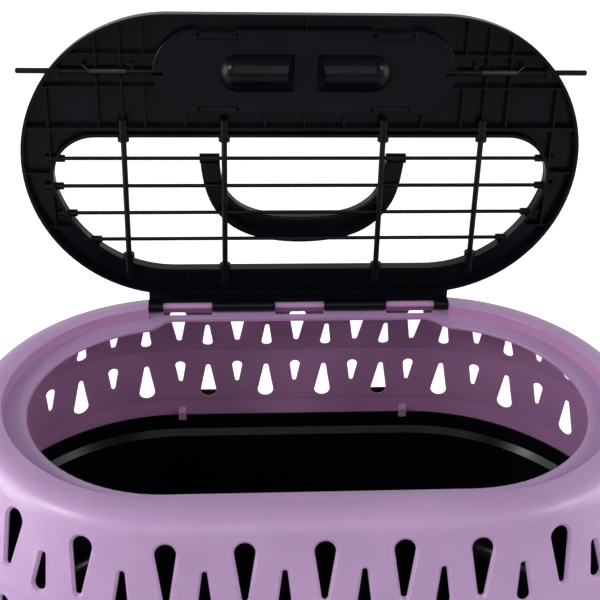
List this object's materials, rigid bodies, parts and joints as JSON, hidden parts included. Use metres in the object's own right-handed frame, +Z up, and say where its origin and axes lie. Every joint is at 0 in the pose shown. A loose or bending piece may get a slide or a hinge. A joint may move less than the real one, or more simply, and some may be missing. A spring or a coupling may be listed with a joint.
{
  "type": "pet carrier",
  "caption": "Oval top-load cat carrier: vented lilac shell on a black tray, hinged lid with wire grille, spring latches and carry handle.",
  "frame": {"origin": "centre of the base, on the floor", "axes": "+Z up, +Y toward the hinge side, +X along the long side; stored with the lid open"},
  "size_m": [0.4982, 0.3324, 0.4717],
  "materials": {
    "lilac_plastic": "satin moulded polypropylene",
    "black_plastic": "satin moulded polypropylene",
    "black_coated_wire": "black coated steel wire",
    "dark_steel_wire": "dark oiled steel wire"
  },
  "bodies": {
    "carrier": {"upper_shell": "lilac_plastic", "lower_tray": "black_plastic", "hinge_pin": "dark_steel_wire"},
    "lid": {"lid_frame": "black_plastic", "latch_cover_plate": "black_plastic", "grille_bar_upright_1": "black_coated_wire", "grille_bar_upright_2": "black_coated_wire", "grille_bar_upright_3": "black_coated_wire", "grille_bar_upright_4": "black_coated_wire", "grille_bar_cross_1": "black_coated_wire", "grille_bar_cross_2": "black_coated_wire", "grille_bar_cross_3": "black_coated_wire", "grille_bar_cross_4": "black_coated_wire", "latch_spring_left": "dark_steel_wire", "latch_spring_right": "dark_steel_wire"},
    "handle": {"carry_handle": "black_plastic"},
    "latch_left": {"latch_rod_left": "black_coated_wire", "latch_slider_left": "black_plastic"},
    "latch_right": {"latch_rod_right": "black_coated_wire", "latch_slider_right": "black_plastic"},
    "clip_front_left": {"side_clip_front_left": "black_plastic"},
    "clip_front_right": {"side_clip_front_right": "black_plastic"},
    "clip_back_left": {"side_clip_back_left": "black_plastic"},
    "clip_back_right": {"side_clip_back_right": "black_plastic"}
  },
  "joints": [
    {"name": "lid_hinge", "type": "hinge", "parent": "carrier", "child": "lid", "pos_m": [0, 0.116, 0.2537], "axis": [1, 0, 0], "range_deg": [0, 92.5]},
    {"name": "handle_swing", "type": "hinge", "parent": "lid", "child": "handle", "pos_m": [0, 0.12246, 0.36953], "axis": [1, 0, 0], "range_deg": [0, 122]},
    {"name": "latch_slide_left", "type": "slide", "parent": "lid", "child": "latch_left", "axis": [1, 0, 0], "range_m": [0, 0.0165], "stiffness_N_per_m": 250, "springref_m": -0.006, "deforming": ["latch_spring_left"]},
    {"name": "latch_slide_right", "type": "slide", "parent": "lid", "child": "latch_right", "axis": [-1, 0, 0], "range_m": [0, 0.0165], "stiffness_N_per_m": 250, "springref_m": -0.006, "deforming": ["latch_spring_right"]},
    {"name": "clip_front_left_swing", "type": "hinge", "parent": "carrier", "child": "clip_front_left", "pos_m": [-0.07, -0.1611, 0.1207], "axis": [1, 0, 0], "range_deg": [0, 90]},
    {"name": "clip_front_right_swing", "type": "hinge", "parent": "carrier", "child": "clip_front_right", "pos_m": [0.07, -0.1611, 0.1207], "axis": [1, 0, 0], "range_deg": [0, 90]},
    {"name": "clip_back_left_swing", "type": "hinge", "parent": "carrier", "child": "clip_back_left", "pos_m": [-0.07, 0.1611, 0.1207], "axis": [-1, 0, 0], "range_deg": [0, 90]},
    {"name": "clip_back_right_swing", "type": "hinge", "parent": "carrier", "child": "clip_back_right", "pos_m": [0.07, 0.1611, 0.1207], "axis": [-1, 0, 0], "range_deg": [0, 90]}
  ]
}
